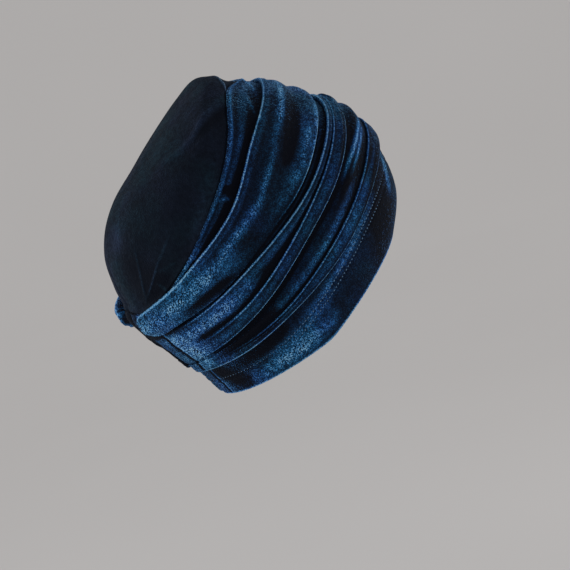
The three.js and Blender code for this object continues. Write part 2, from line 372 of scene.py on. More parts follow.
def velvet(name, deep, bright, second, pale, side_glow, edge_glow, grain, lean, sheen, tint):
    """Velvet of one dye. The pile leans along the vector lean, so the angle between the sight line and the
    leaning fibres sets how much of their bright sides shows. Two point attributes add painted light to that:
    one holds painted highlights (above 0) and painted shade (below 0), along with the pile-less backing and the
    crown's evenly raised pile, and edge holds painted highlights along fold edges, the hem and the layer ends."""
    material, tree, shader = new_material(name)
    pile = add(tree, "Group", node_tree=VELVET_PILE).outputs
    relief = {"Strength": PILE_STRENGTH, "Distance": PILE_DEPTH * MM, "Height": pile["Height"]}
    bumped = add(tree, "Bump", relief).outputs["Normal"]
    leaning = add(tree, "VectorMath", {0: bumped, 1: lean}, operation="ADD").outputs["Vector"]
    fibres = add(tree, "VectorMath", {0: leaning}, operation="NORMALIZE").outputs["Vector"]
    slant = add(tree, "LayerWeight", {"Normal": fibres}).outputs["Facing"]
    curve = add(tree, "FloatCurve", {"Value": slant})
    points = curve.mapping.curves[0].points
    for end, level in enumerate(SLANT_ENDS):
        points[end].location = (end, level)
    for spot in SLANT_CURVE:
        points.new(*spot)
    curve.mapping.update()
    # painted highlights and painted shade on the pile, with the pile-less backing, from a point attribute
    painted_light_and_nap = add(tree, "Attribute", attribute_name="brushed").outputs["Fac"]
    # painted highlights along fold edges, the hem and the layer ends
    painted_edge_highlight = add(tree, "Attribute", attribute_name="edge").outputs["Fac"]
    showing = maths(tree, "MAXIMUM", maths(tree, "ADD", curve.outputs["Value"], painted_light_and_nap), 0.0)
    dyes = dict(Deep=(*deep, 1), Bright=(*bright, 1), Second=(*second, 1), Pale=(*pale, 1), Grain=grain)
    dye = add(tree, "Group", dyes, node_tree=VELVET_DYE_AND_PAINTED_LIGHT)
    feed(tree, dye, {"Sides": maths(tree, "MULTIPLY", showing, side_glow), "Tips": pile["Tips"],
                     "PaintedHighlights": maths(tree, "MULTIPLY", maths(tree, "POWER", painted_edge_highlight, EDGE_FALL), edge_glow),
                     "Brushed": pile["Brushed"]})
    feed(tree, shader, {"Base Color": dye.outputs["Colour"], "Roughness": pile["Roughness"], "Normal": bumped,
                        "Specular IOR Level": PILE_SPECULAR, "Sheen Weight": sheen,
                        "Sheen Roughness": SHEEN_ROUGHNESS, "Sheen Tint": (*tint, 1)})
    return material


BACKING_NAP = -0.6            # the back of the cloth has no pile that could show its sides
BROW_NAP = -0.18              # over the brow the pile lies flatter
BROW_NAP_UNTIL = (62, 34)     # between these angles
BAND_DYE = dict(deep=(0.0042, 0.0057, 0.0118), bright=(0.042, 0.34, 0.82), second=(0.05, 0.285, 0.92),
                pale=(0.33, 0.66, 0.93), grain=3.2, lean=(0, 0.75, 0), sheen=0.06, tint=(0.3, 0.65, 1.0))
RIM_GLOW = dict(side_glow=0.95, edge_glow=2.3)
LOW_EDGE_AT = (2.20, 2.13, 2.03, 2.08, 2.14, 2.14, 2.05)    # place of the lowest fold, over the rim's top
RIM_OUTER_ROWS = 70
RIM_INNER_ROWS = 20
HEM_ROWS = 9
HEM_ROUND = 1.2               # radius of the turned edge
HEM_PLACE = 0.05              # where the pace at the hem is taken
HEM_HIGHLIGHT = 0.7                # how bright the painted highlight along it is
HEM_HIGHLIGHT_PLACES = (0.22, 0.05)    # where that begins and is full, in sections
STITCH_ROW_AT = (1.74, 1.72, 1.73, 1.51, 1.26, 1.16, 1.14)
STITCH_ROW_SPACING = 6.3
STITCH_GROOVE = 0.55          # how deep the thread draws the velvet in
STITCH_GROOVE_WIDTH = 1.5

# Creases and painted light of the rim: start and end (degrees round, place in sections), half width and height
# in mm, how bright a painted highlight runs along it, and how much painted highlight (above 0) or painted shade
# (below 0) lies on the pile there. The hollows carry painted shade on top of their real depth.
CREASE_COLUMNS = "name start end width height edge brushed"
RIM_CREASES = table(CREASE_COLUMNS, [
    ("hem_brushed_front", (82, 0.62), (120, 0.60), 6.5, 0.4, 0, 0.34),
    ("hem_brushed_back", (96, 0.72), (146, 0.50), 7, 0.4, 0, 0.42),
    ("nape_hollow", (166, 2.2), (140, 0.30), 10, -0.5, 0, -0.8),
    ("ear_hollow", (106, 1.80), (150, 1.65), 5, -0.4, 0, -0.2),
    ("brow_glow", (16, 2.10), (36, 1.20), 6, 0, 0, 0.55),
    ("row_brushed", (36, 1.90), (106, 1.56), 3.6, 0, 0, 0.3),
    ("ear_brushed", (78, 1.35), (126, 1.15), 6, 0, 0, 0.22),
])

rim_angles = column_angles(even=1.0, fine=0.6)


def rim_relief(angle, place):
    """Height of the rim's face: slight waves, creases, and a groove along each row of stitches."""
    height = waves(angle, place, **RIM_WAVES) * ease(*RIM_CALM, place)
    height = height + crease_field(angle, place, RIM_CREASES)[0] + layer_end(angle)[0]
    first = at_angle(STITCH_ROW_AT, angle)
    for row in (0, 1):
        away = (place - first) * pace(angle, first) + row * STITCH_ROW_SPACING
        height = height - STITCH_GROOVE * np.exp(-(away / STITCH_GROOVE_WIDTH) ** 2)
    return np.maximum(height, -RIM_WALL * RIM_HOLLOW)


def rim_points(angles):
    """Loops of the rim: down the outer face, round the turned hem as a half circle, up the inner face."""
    low_fold = at_angle(LOW_EDGE_AT, angles)
    top = low_fold + RIM_TUCK / pace(angles, low_fold)
    hem_pace = pace(angles, np.full_like(angles, HEM_PLACE))
    start = (HEM_ROUND / hem_pace)[:, None]
    share = np.linspace(1, 0, RIM_OUTER_ROWS)[None, :]
    outer = start + (top[:, None] - start) * share
    turn = np.radians(np.linspace(0, 180, HEM_ROWS)[1:-1])[None, :]
    edge = start * (1 - np.sin(turn))
    inner = start + (top[:, None] - start) * np.linspace(0, 1, RIM_INNER_ROWS)[None, :]
    place = np.concatenate([outer, edge, inner], 1)
    angle = angles[:, None] + 0 * place
    middle = -LAYER_GAP - RIM_WALL / 2
    outer_height = -LAYER_GAP + rim_relief(angle[:, :RIM_OUTER_ROWS], outer)
    edge_height = middle + RIM_WALL / 2 * np.cos(turn) + 0 * edge
    height = np.concatenate([outer_height, edge_height, 0 * inner - LAYER_GAP - RIM_WALL], 1)
    return angle, place, cloth_point(angle, place, height)


rim_angle, rim_place, rim_xyz = rim_points(rim_angles)
# Painted light of the rim: painted highlights along creases, hem and layer ends, and painted light and painted
# shade on the pile; the inner face keeps the pile-less backing.
_, rim_painted_highlight, rim_nap_and_painted_light = crease_field(rim_angle, rim_place, RIM_CREASES) + layer_end(rim_angle)
rim_nap_and_painted_light = rim_nap_and_painted_light + BROW_NAP * ease(*BROW_NAP_UNTIL, np.degrees(np.abs(rim_angle)))
rim_inside = np.arange(rim_place.shape[1]) >= rim_place.shape[1] - RIM_INNER_ROWS
rim_painted_highlight = np.where(rim_inside, 0, rim_painted_highlight + HEM_HIGHLIGHT * ease(*HEM_HIGHLIGHT_PLACES, rim_place))
rim_nap_and_painted_light = np.where(rim_inside, BACKING_NAP, rim_nap_and_painted_light)
rim = cloth_object("rim_band_velvet", rim_xyz.reshape(-1, 3), ring_faces(*rim_angle.shape),
                   {"edge": rim_painted_highlight, "brushed": rim_nap_and_painted_light}, velvet("rim_velvet", **RIM_GLOW, **BAND_DYE))
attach(rim, "root")
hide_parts("rim_band")

# Stitches of the rim
# Two rows of machine stitches in matching polyester thread, sunk in the velvet. They run all round the rim
# and hold the turned hem to the cloth behind it.
STITCH_LENGTH = 2.3
STITCH_PITCH = 3.5
THREAD_RADIUS = 0.5
STITCH_ABOVE = (0.5, -0.1)    # share of its radius by which the thread stands over the velvet in each row
STITCH_SINK = 1.1             # toward back and brow the thread lies deeper, by this share
STITCH_SINK_BACK = (96, 118)  # between these angles
STITCH_SINK_BROW = (52, 34)
STITCH_DIP = 0.9              # its ends dip by this share of the radius
STITCH_TAPER = 0.999          # 1 would end it in a point
STITCH_SIDES = 6
STITCH_RINGS = 7
ROW_SAMPLES = 2001
THREAD_TWIST = 700
THREAD_DARK = (0.05, 0.14, 0.29)
THREAD_LIGHT = (0.24, 0.45, 0.70)


def stitch_row(offset, above):
    """Spindles along one row: rings whose radius follows half an ellipse, spaced evenly along the row."""
    angle = np.linspace(-np.pi, np.pi, ROW_SAMPLES)
    first = at_angle(STITCH_ROW_AT, angle)
    place = first - offset / pace(angle, first)
    degrees = np.degrees(np.abs(angle))
    above = above - STITCH_SINK * (ease(*STITCH_SINK_BACK, degrees) + ease(*STITCH_SINK_BROW, degrees))
    line = cloth_point(angle, place, rim_relief(angle, place) - LAYER_GAP + THREAD_RADIUS * above)
    run = np.concatenate([[0], np.cumsum(np.linalg.norm(np.diff(line, axis=0), axis=1))])
    count = int(run[-1] / STITCH_PITCH)
    middle = (np.arange(count) + 0.5) * run[-1] / count
    along = np.linspace(-1, 1, STITCH_RINGS)
    where = middle[:, None] + along * STITCH_LENGTH / 2
    spine, up = [np.stack([np.interp(where, run, values) for values in rows.T], -1)
                 for rows in (line, outward(angle, place))]
    ahead = np.gradient(spine, axis=1)
    ahead /= np.linalg.norm(ahead, axis=-1, keepdims=True)
    across = np.cross(ahead, up)
    dip = (along ** 2 * THREAD_RADIUS * STITCH_DIP)[None, :, None] * up
    turn = np.arange(STITCH_SIDES) * 2 * np.pi / STITCH_SIDES
    radius = THREAD_RADIUS * np.sqrt(1 - along ** 2 * STITCH_TAPER)[None, :, None, None]
    spoke = across[:, :, None] * np.cos(turn)[:, None] + up[:, :, None] * np.sin(turn)[:, None]
    return (spine - dip)[:, :, None] + radius * spoke


def stitch_faces(count):
    """Quads between the rings of every spindle, with a flat end cap at each end."""
    index = np.arange(count * STITCH_RINGS * STITCH_SIDES).reshape(count, STITCH_RINGS, STITCH_SIDES)
    low, high = index[:, :-1], index[:, 1:]
    quads = np.stack([low, np.roll(low, -1, 2), np.roll(high, -1, 2), high], -1).reshape(-1, 4)
    caps = np.concatenate([index[:, 0, ::-1], index[:, -1]])
    return quads.tolist() + caps.tolist()


def noise_colours(tree, scale, *stops):
    """Noise on Object coordinates turned into colours: two stops, each a place on the ramp and a colour."""
    place = add(tree, "TexCoord").outputs["Object"]
    noise = add(tree, "TexNoise", {"Scale": scale, "Vector": place}).outputs["Fac"]
    ramp = add(tree, "ValToRGB", {"Fac": noise})
    for element, (position, colour) in zip(ramp.color_ramp.elements, stops):
        element.position = position
        element.color = (*colour, 1)
    return ramp.outputs["Color"]


def thread_material():
    """Matt polyester thread with a faint twist along it."""
    material, tree, shader = new_material("rim_thread")
    colour = noise_colours(tree, THREAD_TWIST, (0.35, THREAD_DARK), (0.7, THREAD_LIGHT))
    feed(tree, shader, {"Base Color": colour, "Roughness": 0.5, "Specular IOR Level": 0.3})
    return material


stitch_rows = np.concatenate([stitch_row(row * STITCH_ROW_SPACING, above)
                              for row, above in enumerate(STITCH_ABOVE)])
stitches = cloth_object("rim_stitches", stitch_rows.reshape(-1, 3), stitch_faces(len(stitch_rows)), {},
                        thread_material())
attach(stitches, "root")

# Draped band
# One wide panel of velvet laid in overlapping folds over the brow and ears, sewn in under the crown at
# the top and over the rim at the bottom, and gathered into the centre-back seam.
FOLD_WALL = 1.8
BAND_TOP_AT = (5.62, 6.26, 6.10, 5.86, 5.62, 5.50, 6.10)    # where the band is sewn to the crown
BAND_TOP_TURN = ((0.4, 0.0), (0.0, 0.4), (1.2, 0.9))        # its turned edge: mm below the top, mm of height
BAND_TOP_SHADE = -0.6           # painted shade on the turned edge beside the crown
BAND_TOP_BACKING = 2          # the inner face starts this far below
BAND_FOOT = (3.0, 0.3)        # the outer face ends this far up under the lowest fold, at this height
BAND_END_FURTHER = 6          # the band's ends lie this much further from the seam than the rim's
BAND_WAVES = dict(seed=31, size=0.9, lengths=(90, 45))
FOLD_WAVES = dict(size=1.4, lengths=(110, 60))
FOLD_SEED = 100
BRIDGE_HEIGHT = 1.4           # height of the flat cloth between the ends
FAR_END_DARKENING = -0.22           # the left end of the band is darker
FAR_END_WIDTH = (110, 35)     # over this width from the seam
FAR_END_DIM = 0.3             # and its painted edge highlights are dimmer by this share
BROW_NAP_BELOW = (3.6, 2.8)   # the brow's flatter pile lies below these places
FACE_HEIGHTS = (0.3, 2.5)     # creases and waves grow to their full size between these heights
OUTER_SPACING = 1.1           # mm between points down the outer face
INNER_SPACING = 7.0
SPAN_MOST = 14                # most points between two controls
BAND_GLOW = dict(side_glow=0.98, edge_glow=2.3)

# Ends of the folds near the seam: they end this far from it, round down over this width, and draw together
# toward a place until this share of their distance from it is left. tip is how bright a painted highlight runs
# round there.
TOP_END = dict(away=18, width=14, place=5.0, share=1.0, tip=0)
ROLL_END = dict(away=31, width=20, place=4.96, share=0.10, tip=0.3)
TIER_END = dict(away=12, width=12, place=3.2, share=0.94, tip=0)
TIP_LINES = ((0.45, 0.1), (0.82, 0.04))     # shares of the rounding at which that painted highlight lies, twice, and widths

# Folds from crown to rim, each value at every 30 degrees from the front round to the back: at is the place in
# sections, height the rise in mm, floor the height at its foot, edge how bright the highlight painted along its
# edge is, and reach how far it overhangs. The last three are as usual where a row leaves them out.
FOLD_USUAL = dict(floor=[0] * 7, edge=[0] * 7, reach=[1] * 7)
FOLDS = table("name shape end at height floor edge reach", [
    ("seam_ridge", "tube", TOP_END,
     (5.46, 6.10, 5.94, 5.70, 5.48, 5.42, 5.90), (3.6, 3.8, 3.8, 3.4, 1.7, 1, 1),
     (1.8, 1.8, 1.8, 1.6, 1, 0.8, 0.8), (0.2, 0.3, 0.25, 0.2, 0.1, 0, 0),
     (1, 1, 0.9, 0.7, 0.45, 0.2, 0.5)),
    ("seam_dip", "soft", TOP_END,
     (5.29, 5.62, 5.55, 5.36, 5.30, 5.37, 5.60), (2, 2, 2, 1.8, 1.2, 0.8, 1)),
    ("roll_edge", "roll", ROLL_END,
     (5.10, 5.16, 5.17, 4.96, 5.14, 5.46, 5.54), (6.5, 6.8, 7, 7, 8.4, 13, 15),
     (1.5, 1.5, 1.5, 1.3, 1, 0.8, 0.8), (0.6, 0.7, 0.9, 0.9, 0.9, 0.8, 0.8)),
    ("roll_hollow", "soft", ROLL_END,
     (4.88, 4.88, 4.84, 4.68, 4.82, 4.97, 5.02), (6.4, 6.2, 5.6, 5.4, 8.6, 13.8, 15.8)),
    ("roll_crest", "soft", ROLL_END,
     (4.76, 4.77, 4.68, 4.54, 4.66, 4.83, 4.88), (7.4, 7.4, 7, 7, 9.4, 14.2, 16)),
    ("roll_dip", "soft", ROLL_END,
     (4.50, 4.46, 4.40, 4.30, 4.46, 4.66, 4.72), (5.2, 5.2, 5, 4.6, 7.4, 13.8, 15.8)),
    ("roll_under", "under", ROLL_END,
     (4.15, 4.02, 3.94, 4.06, 4.19, 4.42, 4.46), (7.6, 7.6, 6.8, 3.2, 5.8, 12, 14),
     (0.8, 0.8, 1, 2.6, 3.2, 1.2, 1.2), (0.8, 0.9, 0.9, 0, 0, 0.35, 0.5)),
    ("pleat_top", "rib", TIER_END,
     (3.80, 3.70, 3.67, 3.89, 4.11, 4.20, 4.16), (6, 6.2, 6.5, 7, 7, 3.8, 3.4),
     (1.2, 1.2, 1.2, 1.6, 3.2, 3, 2.6), (0.7, 0.8, 0.8, 0.9, 0.9, 0.1, 0)),
    ("pleat_dip", "soft", TIER_END,
     (3.69, 3.59, 3.57, 3.64, 3.76, 3.80, 3.80), (4.6, 4.4, 4.2, 4, 4.8, 4.6, 4.4)),
    ("pleat_rib", "rib", TIER_END,
     (3.62, 3.51, 3.48, 3.47, 3.37, 3.36, 3.36), (6.4, 6.2, 6, 6.4, 6.2, 5.2, 5),
     (3.4, 3.2, 3, 2.8, 3.4, 4.4, 4.4), (0.3, 0.5, 0.6, 0.8, 0.6, 0.1, 0)),
    ("pleat_edge", "edge", TIER_END,
     (3.42, 3.18, 3.13, 3.13, 2.97, 2.80, 2.72), (8, 7.8, 7.6, 7.6, 7, 5.6, 5.2),
     (1, 0.8, 0.8, 0.8, 1.6, 4.2, 4.6), (0.9, 0.9, 0.8, 0.9, 0.8, 0.3, 0)),
    ("flat_crest", "soft", TIER_END,
     (2.95, 2.84, 2.72, 2.70, 2.64, 2.64, 2.60), (6.5, 5.4, 4.4, 4.2, 4.6, 5.4, 5.4)),
    ("low_dip", "soft", TIER_END,
     (2.70, 2.60, 2.51, 2.47, 2.48, 2.52, 2.46), (4, 3.6, 3.2, 3, 3.8, 5.4, 5.4)),
    ("low_rib", "rib", TIER_END,
     (2.54, 2.46, 2.39, 2.34, 2.37, 2.42, 2.36), (5.4, 5.4, 5.4, 5.4, 5.4, 5.6, 5.6),
     (2.6, 2.4, 2.4, 2.4, 3.2, 5.2, 5.4), (0.4, 0.5, 0.6, 0.6, 0.3, 0, 0),
     (1, 1, 1, 0.9, 0.6, 0.35, 0.35)),
    ("low_edge", "hem", TIER_END,
     LOW_EDGE_AT, (6, 6.3, 6.6, 7, 6.8, 6, 5.8),
     (0.8, 0.8, 0.8, 0.8, 0.8, 0.8, 0.8), (0.6, 0.7, 0.7, 0.8, 0.9, 0.8, 0.6),
     (1, 1, 1, 1, 1.1, 1.2, 1.2)),
])

# Outlines across a fold, from the cloth that it lies on to the crease: step back from the edge in mm, share of
# the rise from floor to height, share of the fold's painted edge highlight, and painted light on the pile: a
# little painted highlight on the crest and painted shade in the crease at its foot. A roll or rib overhangs
# toward the crown, an edge or hem toward the hem.
OUTLINES = {shape: table("step share edge brushed", rows) for shape, rows in {
    "soft": [
        (0, 1, 0, 0),
    ],
    "tube": [
        (3, 0.06, 0, -0.1), (1.6, 0.55, 0.1, 0), (0.5, 0.97, 0.7, 0.16), (-0.5, 0.97, 0.7, 0.16),
        (-1.6, 0.60, 0.1, 0), (-3.6, 0.08, 0, -0.05),
    ],
    "roll": [
        (6, 0.86, 0, 0), (4, 1, 0, 0.08), (1.9, 0.92, 0, 0), (0.5, 0.95, 0.1, 0), (-0.2, 0.88, 1, 0),
        (-0.8, 0.68, 0.1, 0), (-0.5, 0.28, 0, -0.15), (1, 0.03, 0, -0.3),
    ],
    "rib": [
        (3.2, 0.95, 0, 0.08), (1.6, 0.89, 0, 0), (0.5, 0.97, 0.1, 0), (-0.2, 0.86, 1, 0),
        (-0.7, 0.62, 0.1, 0), (-0.4, 0.22, 0, -0.2), (1, 0, 0, -0.35),
    ],
    "edge": [
        (3.8, 1, 0, 0.06), (1.8, 0.92, 0, 0), (0.5, 0.97, 0.1, 0), (-0.2, 0.88, 1, 0), (-0.8, 0.66, 0.1, 0),
        (-0.5, 0.28, 0, -0.3), (0.6, 0.05, 0, -0.6), (-1.6, 0, 0, -0.4), (-4.8, 0.02, 0, -0.12),
    ],
    "under": [
        (4.4, 1, 0, 0.06), (2, 0.93, 0, 0), (0.5, 0.95, 0.1, 0), (-0.3, 0.84, 1, 0), (-0.9, 0.60, 0.1, 0),
        (-0.5, 0.26, 0, -0.3), (0.6, 0.04, 0, -0.5), (-1.4, 0, 0, -0.2), (-3.8, 0.03, 0, 0),
    ],
    "hem": [
        (3.2, 1, 0, 0.06), (1.8, 0.92, 0, 0), (0.5, 0.97, 0.1, 0), (-0.2, 0.88, 1, 0), (-0.8, 0.66, 0.1, 0),
        (-0.4, 0.25, 0, -0.3), (1.6, 0, 0, -0.6),
    ],
}.items()}
LIP_FULL_RISE = 3             # a lower fold's outline runs out flat in proportion
LIP_FLAT_HALF = 3.6           # to this half width
LIP_BACKING = 2.2             # inner face of a lip behind its crease

# Short creases of the band, as for the rim, with painted highlights along their edges and places of painted
# light and painted shade: streaks, sparkles, glows and brightened zones are painted highlights; the shades, the
# dimple and the roll's foot are painted shade and painted shadow.
BAND_CREASES = table(CREASE_COLUMNS, [
    ("tuck_right", (2, 5.52), (38, 5.20), 1.1, 1.2, 0.9, 0),
    ("tuck_low", (29, 5.62), (49, 5.10), 1.1, 1.2, 0.85, 0),
    ("top_streak", (2, 4.82), (58, 4.72), 2.2, 0.7, 0, 0.6),
    ("side_streak", (54, 4.70), (90, 4.50), 2, 0.6, 0, 0.3),
    ("back_streak", (76, 4.53), (124, 4.70), 3.4, 0.6, 0, 0.34),
    ("seam_sparkle", (104, 5.46), (136, 5.30), 3, 0, 0, 0.5),
    ("under_sparkle", (14, 4.10), (72, 3.88), 1.8, 0, 0, 0.5),
    ("low_sparkle", (16, 2.36), (84, 2.24), 2.2, 0, 0, 0.12),
    ("seam_flat", (14, 5.62), (112, 5.24), 8, 0, 0, 0.08),
    ("brow_shade", (16, 2.80), (74, 2.76), 6, 0, 0, -0.06),
    ("flat_sparkle", (50, 2.60), (116, 2.58), 3.4, 0, 0, 0.2),
    ("cross_wrinkle", (87, 5.72), (83, 4.88), 1.1, 1.2, 0.6, 0),
    ("cross_dimple", (82, 5.68), (79.5, 4.98), 2.6, -0.8, 0, -0.6),
    ("roll_top_shade", (16, 4.62), (66, 4.34), 4.6, -0.5, 0, -0.26),
    ("roll_low_glow", (42, 4.22), (80, 4.10), 3, 0, 0, 0.1),
    ("roll_ridge", (36, 4.20), (68, 4.04), 2.4, 1.2, 0, 0.25),
    ("roll_shade", (138, 4.54), (110, 4.24), 3.2, -0.8, 0, -0.35),
    ("roll_brushed", (166, 5.15), (100, 4.44), 7, 0, 0, 0.48),
    ("roll_foot", (138, 4.24), (176, 4.34), 3.2, 0, 0, -0.6),
    ("roll_low_edge", (134, 4.40), (160, 4.64), 1, 0, 0.5, 0),
    ("tier_shade", (124, 3.42), (146, 3.55), 5, -0.8, 0, -0.25),
    ("tier_brushed", (159, 4.5), (150, 2.2), 9, 0, 0, 0.48),
    ("pleat_brushed", (104, 3.60), (160, 3.85), 7, 0, 0, 0.56),
    ("flat_shade", (108, 2.46), (146, 2.62), 5, -0.8, 0, -0.45),
    ("brow_ridge", (12, 2.72), (60, 2.92), 1.4, 1.2, 0.75, 0),
    ("brow_line", (20, 2.66), (54, 2.74), 1.2, 1, 0.65, 0),
])

band_angles = column_angles(even=0.95, fine=0.6)


def shifted(angle, place, step):
    """The place that lies step mm of cloth toward the crown: one step at the pace found half way."""
    half_way = place + step / 2 / pace(angle, place)
    return place + step / pace(angle, half_way)


def lowered(height, share, bridge):
    """Height of a fold near its end: the given share of it, and for the rest the low cloth at the seam."""
    return LAYER_GAP + (height - LAYER_GAP) * share + bridge * (1 - share)


def fold_controls(angle):
    """Control points (place, height, edge, brushed) of the outer and the inner face at each angle, from crown
    to hem."""
    top = at_angle(BAND_TOP_AT, angle)
    none = 0 * top
    low = none + LAYER_GAP
    step = 1 / pace(angle, top)
    back = none + BACKING_NAP
    # painted shade along the turned top edge
    outer = [(top - down * step, low + up, none, none + BAND_TOP_SHADE) for down, up in BAND_TOP_TURN]
    inner = [(top - BAND_TOP_BACKING * step, low, none, back)]
    for number, fold in enumerate(FOLDS):
        fold = {**FOLD_USUAL, **fold}
        place, height, floor, edge, reach = [at_angle(fold[key], angle)
                                             for key in ("at", "height", "floor", "edge", "reach")]
        end = fold["end"]
        full_end = beside_seam(angle, end["width"], end["away"])
        # painted highlight round the fold's end
        tip = end["tip"] * sum(np.exp(-((full_end - at) / width) ** 2) for at, width in TIP_LINES)
        # painted shade: the pile darkens toward the fold's rounded end
        end_shade = -END_SHADE * ease(TIP_LINES[1][0], TIP_LINES[0][0] / 2, full_end)
        drawn = end["share"] + (1 - end["share"]) * full_end
        swell = np.sqrt(full_end)
        uneven = waves(angle, none, FOLD_SEED + number, **FOLD_WAVES)
        place = place + uneven * full_end / pace(angle, place)
        place = end["place"] + (place - end["place"]) * drawn
        rise = height - floor
        to_crown = fold["shape"] in ("roll", "rib")
        size = -reach * drawn if to_crown else reach * drawn
        full = np.clip(rise * swell / LIP_FULL_RISE, 0, 1) * np.sqrt(swell)
        rows = OUTLINES[fold["shape"]]
        spread = np.linspace(LIP_FLAT_HALF, -LIP_FLAT_HALF, len(rows)) if len(rows) > 1 else [0]
        outline = [(shifted(angle, place, (p["step"] * full + flat * (1 - full)) * size),
                    lowered(floor + rise * p["share"], swell, BRIDGE_HEIGHT),
                    edge * full_end * p["edge"] + tip, full * p["brushed"] + end_shade)
                   for p, flat in zip(rows, spread)]
        backed = lowered(np.maximum(height - FOLD_WALL, LAYER_GAP), swell, 0)
        if fold["shape"] in ("soft", "tube"):
            outer += outline
            inner.append((place, backed, none, back))
            continue
        under = lowered(np.maximum(floor - FOLD_WALL, LAYER_GAP), swell, 0)
        crest = (outline[0][0], backed, none, back)
        crease = (shifted(angle, place, LIP_BACKING * full * size), under, none, back)
        outer += outline[::-1] if to_crown else outline
        inner += [crease, crest] if to_crown else [crest, crease]
    last = outer[-1][0]
    outer.append((last + BAND_FOOT[0] / pace(angle, last), low + BAND_FOOT[1], none, none))
    return [np.stack([np.stack(point, -1) for point in face], 1) for face in (outer, inner)]


def rounded_line(controls, spacing):
    """Smooth curves through the control points of every angle: cubics whose slope at a point weighs the
    spans beside it by their lengths. Each span is cut into steps of about spacing mm, alike at all angles."""
    step = np.diff(controls, axis=1)
    length = np.hypot(step[..., :1] * SECTION_STEP, step[..., 1:2]) + 1e-6
    speed = step / length
    before, after = length[:, :-1], length[:, 1:]
    slope = (speed[:, :-1] * after + speed[:, 1:] * before) / (before + after)
    slope = np.concatenate([speed[:, :1], slope, speed[:, -1:]], 1)
    counts = np.clip(np.round(length[..., 0].mean(0) / spacing), 1, SPAN_MOST).astype(int)
    span = np.repeat(np.arange(len(counts)), counts)
    s = np.concatenate([np.arange(n) / n for n in counts])[None, :, None]
    start, end, run = controls[:, span], controls[:, span + 1], length[:, span]
    line = cubic(start, end, slope[:, span] * run, slope[:, span + 1] * run, s)
    return np.concatenate([line, controls[:, -1:]], 1)


def band_points(angles):
    """Loops of the band: down the folded outer face and back up the inner one."""
    outer, inner = fold_controls(angles)
    outer = rounded_line(outer, OUTER_SPACING)
    inner = rounded_line(inner[:, ::-1], INNER_SPACING)
    angle = angles[:, None]
    place, height = outer[..., 0], outer[..., 1]
    creases = crease_field(angle, place, BAND_CREASES)
    # painted highlights along folds, creases and layer ends, and painted light and painted shade on the pile
    crease, edge, brushed = creases + layer_end(angle, BAND_END_FURTHER)
    brow = ease(*BROW_NAP_UNTIL, np.degrees(np.abs(angle))) * ease(*BROW_NAP_BELOW, place)
    # the band is darker toward its left end
    far_end = ease(*FAR_END_WIDTH, (np.pi + angle) * BACK_RADIUS)
    brushed = brushed + BROW_NAP * brow + FAR_END_DARKENING * far_end
    rise = crease + waves(angle, place, **BAND_WAVES)
    on_face = ease(*FACE_HEIGHTS, height)
    outer[..., 1] += rise * on_face
    outer[..., 2:] += np.stack([edge, brushed], -1) * on_face[..., None]
    outer[..., 2] *= 1 - FAR_END_DIM * far_end
    inner[..., 1] = np.maximum(inner[..., 1], LAYER_GAP)
    loop = np.concatenate([outer, inner], 1)
    place, height, edge, brushed = np.moveaxis(loop, -1, 0)
    angle = angle + 0 * place
    return angle, edge, brushed, cloth_point(angle, place, height)


band_angle, band_painted_highlight, band_nap_and_painted_light, band_xyz = band_points(band_angles)
band = cloth_object("draped_band_velvet", band_xyz.reshape(-1, 3), ring_faces(*band_angle.shape),
                    {"edge": np.maximum(band_painted_highlight, 0), "brushed": band_nap_and_painted_light},
                    velvet("band_velvet", **BAND_GLOW, **BAND_DYE))
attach(band, "root")
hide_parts("draped_band")

# Crown
# A slack bag of velvet over the top and back of the cap, sewn in under the band and drawn into gathers
# at the centre-back seam.
CROWN_WALL = 1.6
CROWN_TUCK = 10
CROWN_OUTER_ROWS = 110
CROWN_INNER_ROWS = 40
CROWN_WAVES = dict(seed=53, size=1.2, lengths=(120, 60))
CROWN_CALM = ((10, 8.5), (6.0, 6.4))     # the waves fade between these places at the middle and at the band
CROWN_NEAREST = 0.03          # the last row of points stops this many sections short of the middle
CROWN_FLAT = 0.3              # sections round the middle that face one way
CROWN_NAP = 0.12              # how far the pile is brushed up all over
CROWN_WELT = 1.3              # the crown stands up beside the band's edge, level with it
CROWN_WELT_WIDTH = 9
CROWN_WELT_RISE = 1.5         # the width over which it rises
CROWN_DYE = dict(deep=(0.0054, 0.0082, 0.0158), bright=(0.05, 0.20, 0.32), second=(0.08, 0.15, 0.34),
                 pale=(0.4, 0.6, 0.75), grain=1.6, lean=(0, 0, 0), sheen=0.008, tint=(0.15, 0.38, 0.7))
CROWN_GLOW = dict(side_glow=0.14, edge_glow=0.45)
GATHER_PITCH = 15.6           # degrees from gather to gather
GATHER_HEIGHT = 2
GATHER_SPREAD = 26            # degrees from the seam over which they die out
GATHER_REACH = 1.8            # sections above the band's edge that they reach
GATHER_START = 0.45
